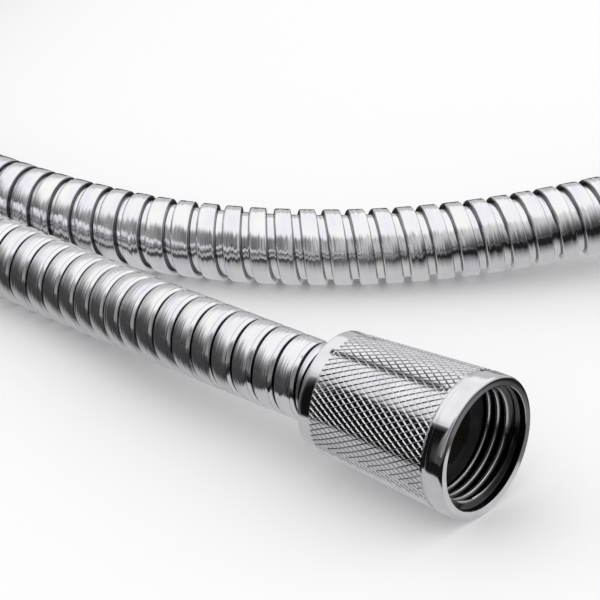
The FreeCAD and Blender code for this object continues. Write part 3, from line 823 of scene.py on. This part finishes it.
# Grey of the room at heights above the horizon in degrees, for one direction each
LEFT = [(0, 0.58), (14, 0.68), (26, 0.74), (34, 0.96), (40, 1.0)]
FRONT = [(3, DARK), (14, 0.36), (25, 0.52), (33, 0.74), (42, 0.96), (48, 1.0)]
LEFT_MIDDLE = [(0, 0.62), (20, 0.6), (35, 0.58), (49, 0.62), (56, 0.88), (62, 1.0)]
MIDDLE = [(0, 0.5), (20, 0.47), (35, 0.43), (48, 0.48), (56, 0.82), (62, 1.0)]
RIGHT_MIDDLE = [(0, 0.56), (4, 0.64), (20, 0.84), (35, 0.82), (50, 0.74), (58, 0.94), (62, 1.0)]
RIGHT = [(0, 0.24), (19, 0.48), (35, 0.76), (52, 0.9), (58, 1.0)]
BEHIND = [(-4, 1.0), (3, 0.78), (25, 0.78), (32, 1.0)]
ROOM_SIDES = [(-180, LEFT), (-172, LEFT), (-161, FRONT), (-119, FRONT), (-108, LEFT_MIDDLE),
              (-98, LEFT_MIDDLE), (-76, MIDDLE), (-63, MIDDLE), (-39, RIGHT_MIDDLE), (-26, RIGHT),
              (20, RIGHT), (40, BEHIND), (150, BEHIND), (180, LEFT)]


def read_off(curve, place_on_curve):
    """Value of a curve that is given by its points."""
    return float(np.interp(place_on_curve, *zip(*curve)))


def lit_card(piece, name, rule):
    """Makes a piece a card that only reflections see, lit by a grey at each of its vertices."""
    piece.name = name
    for flag in ("visible_camera", "visible_diffuse", "visible_shadow", "visible_transmission",
                 "visible_volume_scatter"):
        setattr(piece, flag, False)
    layer = piece.data.attributes.new("grey", "FLOAT", "POINT")
    layer.data.foreach_set("value", [rule(vertex.co) ** 2.2 for vertex in piece.data.vertices])
    material, tree = new_material(name)
    grey = add_node(tree, "ShaderNodeAttribute", {"attribute_name": "grey"})
    glow = add_node(tree, "ShaderNodeEmission", {"Strength": 1.0}, {"Color": grey.outputs["Fac"]})
    add_node(tree, "ShaderNodeOutputMaterial", links={"Surface": glow.outputs[0]})
    piece.data.materials.append(material)


def grid_card(name, columns, rows, rule, where):
    """Card made as a square from -1 to 1, lit there, and then placed point by point."""
    bpy.ops.mesh.primitive_grid_add(x_subdivisions=columns, y_subdivisions=rows, size=2.0, location=(0, 0, 0))
    piece = bpy.context.object
    lit_card(piece, name, rule)
    for vertex in piece.data.vertices:
        vertex.co = where(vertex.co)


def room_grey(point):
    turn = math.degrees(math.atan2(point.y, point.x))
    height = math.degrees(math.asin(max(-1.0, min(1.0, point.z / ROOM))))
    return read_off([(side_turn, read_off(side, height)) for side_turn, side in ROOM_SIDES], turn)


bpy.ops.object.select_all(action="DESELECT")
bpy.ops.mesh.primitive_uv_sphere_add(segments=144, ring_count=90, radius=ROOM, location=MIDDLE_OF_ROOM)
lit_card(bpy.context.object, "room_card", room_grey)
bpy.ops.mesh.primitive_circle_add(vertices=96, radius=ROOM * 0.99, fill_type="NGON",
                                  location=MIDDLE_OF_ROOM + Vector((0.0, 0.0, 0.05 * MM)))
lit_card(bpy.context.object, "dark_table_card", lambda point: FAR_TABLE)

# Pale strip of table: greys at distances from the hose's line, on its camera side. Where the turns lie open,
# the strip changes with how far back the line is
NARROW_STRIP = [(8.0, 0.70), (9.4, 0.64), (13.0, 0.42), (17.0, 0.0)]
WIDE_STRIP = [(9.0, 0.78), (13.0, 0.70), (20.0, 0.50), (36.0, 0.34)]
RIGHT_STRIP = [(9.0, 0.76), (12.0, 0.66), (19.0, 0.36), (26.0, 0.0)]
OPEN_STRIPS = [(52.0, WIDE_STRIP), (66.0, RIGHT_STRIP)]
OPEN_FROM = 1.1
BEHIND_LINE, UNDER_HOSE = 6.0, 7.0

# Table beside the nut, dark but for a strip along it and a patch at its mouth
BEHIND_NUT = [(8.0, NUT_DARK), (18.0, 0.46), (33.0, 0.46), (45.0, 0.14)]
TOWARDS_NUT = (-60.0, -40.0)
NUT_STRIP = [(17.0, 0.75), (21.0, 0.0)]
NUT_DEPTHS, NUT_SHIFT = range(5, 38, 4), 11.0
MOUTH_PATCH = [(11.0, 0.80), (14.0, 0.0)]
MOUTH_PLACE = (8.0, 6.0)

TABLE_MIDDLE, TABLE_HALF, TABLE_RISE = (-170.0, 50.0), (230.0, 120.0), 0.1
line_flat = (hose_points[::4, :2] - np.array(ROUTE_ORIGIN[:2])) / MM
opened = recess_width(hose_track.distance[::4]) > OPEN_FROM


def on_table(point):
    return TABLE_MIDDLE[0] + TABLE_HALF[0] * point.x, TABLE_MIDDLE[1] + TABLE_HALF[1] * point.y


def table_grey(point):
    x, y = on_table(point)
    aways = np.linalg.norm(line_flat - np.array([x, y]), axis=1)
    nearest = int(aways.argmin())
    away, line_y = aways[nearest], line_flat[nearest][1]
    if opened[nearest]:
        pale = read_off([(strip_y, read_off(strip, away)) for strip_y, strip in OPEN_STRIPS], line_y)
    else:
        pale = read_off(NARROW_STRIP, away)
    dark = float(np.interp(x, TOWARDS_NUT, [DARK, read_off(BEHIND_NUT, y)]))
    behind = y > line_y + BEHIND_LINE and away > UNDER_HOSE
    from_nut = min(math.hypot(x + depth, y + NUT_SHIFT) for depth in NUT_DEPTHS)
    from_mouth = math.hypot(x - MOUTH_PLACE[0], y - MOUTH_PLACE[1])
    return max(dark, 0.0 if behind else pale, read_off(NUT_STRIP, from_nut), read_off(MOUTH_PATCH, from_mouth))


grid_card("table_card", 230, 120, table_grey, lambda point: place(*on_table(point), TABLE_RISE))

# Dark flag that stands beside the nut with soft edges, taller at its far end
FLAG_FOOT, FLAG_WAY = (-45.7, -30.2), (0.156, -0.988)
FLAG_NEAR, FLAG_HALF = -3.0, 24.5
FLAG_HEIGHT, FLAG_GROWTH = 39.0, 0.9
FLAG_TOP = [(0.62, 0.1), (1.0, 0.5)]
FLAG_SIDES = [(0.85, 0.1), (1.0, 0.5)]

# Small soft flag close above the nut: its foot, its rise from there, and its half width and how that grows
SMALL_FOOT, SMALL_RISE = (-33.0, -2.8, 28.0), (9.0, 3.3, 19.7)
SMALL_HALF, SMALL_GROWTH = 1.5, 4.0
SMALL_FADE = [(0.1, 0.16), (1.0, 1.0)]


def flag_place(point):
    out = FLAG_NEAR + FLAG_HALF * (point.x + 1.0)
    return place(FLAG_FOOT[0] + FLAG_WAY[0] * out, FLAG_FOOT[1] + FLAG_WAY[1] * out,
                 (point.y + 1.0) / 2 * (FLAG_HEIGHT + FLAG_GROWTH * out))


def small_flag_place(point):
    up = (point.x + 1.0) / 2
    x, y, z = (foot + rise * up for foot, rise in zip(SMALL_FOOT, SMALL_RISE))
    return place(x, y + point.y * (SMALL_HALF + SMALL_GROWTH * up), z)


grid_card("flag_card", 24, 24,
          lambda point: max(read_off(FLAG_TOP, point.y), read_off(FLAG_SIDES, abs(point.x))), flag_place)
grid_card("small_flag_card", 8, 12, lambda point: read_off(SMALL_FADE, abs(point.y)), small_flag_place)

# Light: an even white all round
world = bpy.data.worlds.new("studio")
world.use_nodes = True
tree = world.node_tree
tree.nodes.clear()
back = add_node(tree, "ShaderNodeBackground", {"Strength": 1.0, "Color": (1.0, 1.0, 1.0, 1.0)})
add_node(tree, "ShaderNodeOutputWorld", links={"Surface": back.outputs[0]})
bpy.context.scene.world = world
